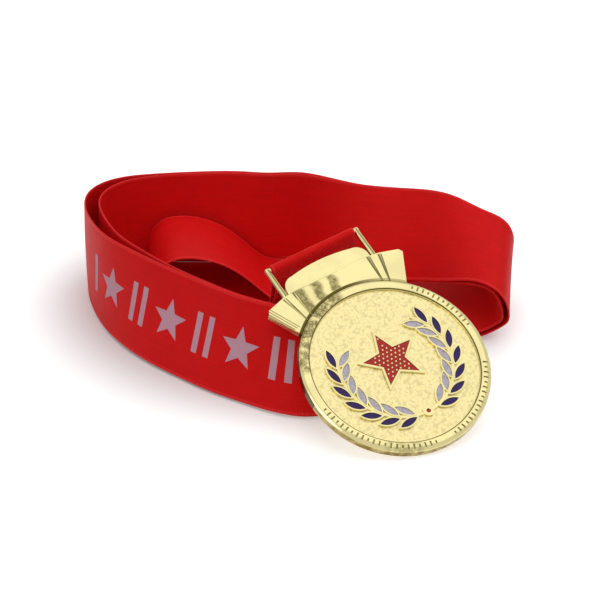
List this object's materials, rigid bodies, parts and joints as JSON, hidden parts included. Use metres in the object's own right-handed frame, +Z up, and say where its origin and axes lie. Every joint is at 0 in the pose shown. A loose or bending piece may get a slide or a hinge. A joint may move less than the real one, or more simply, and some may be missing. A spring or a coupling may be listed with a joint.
{
  "type": "medal on neck ribbon",
  "caption": "Round gold-plated award medal with a bow-shaped hanger, hinged on a wide red neck ribbon that lies in an open coil.",
  "frame": {"origin": "bottom centre of the whole object as it lies, on the table", "axes": "+Z up, +X along the length of the ribbon's coil, +Y towards the back of the coil; the medal lies at the front"},
  "size_m": [0.1674, 0.1584, 0.0525],
  "materials": {
    "gold_plate": "mirror-polished gold plate",
    "gold_field": "satin stippled gold plate",
    "gold_relief": "polished gold plate",
    "enamel_red": "red soft enamel",
    "enamel_purple": "dark purple soft enamel",
    "enamel_white": "lilac-white soft enamel",
    "ribbon_red": "red satin-faced woven polyester",
    "thread_red": "red polyester sewing thread"
  },
  "bodies": {
    "ribbon": {"ribbon_outer_ply": "ribbon_red", "ribbon_inner_ply": "ribbon_red", "ribbon_nape_loop": "ribbon_red", "ribbon_bar_wrap": "ribbon_red", "seam_thread": "thread_red"},
    "medal": {"disc_body": "gold_plate", "centre_insert": "gold_field", "star_frame": "gold_relief", "star_enamel_red": "enamel_red", "star_beads": "gold_relief", "wreath_frame": "gold_relief", "leaf_enamel_purple": "enamel_purple", "leaf_enamel_white": "enamel_white", "berry_enamel_red": "enamel_red", "bow_banner": "gold_plate", "dome_lug": "gold_plate", "left_post": "gold_plate", "right_post": "gold_plate", "ribbon_bar": "gold_plate", "disc_rivets": "gold_plate", "lug_rivets": "gold_plate"}
  },
  "joints": [
    {"name": "medal_swing", "type": "hinge", "parent": "ribbon", "child": "medal", "pos_m": [0.00498, -0.01185, 0.04769], "axis": [-0.8267, -0.5389, -0.1616], "range_deg": [0, 110]}
  ]
}
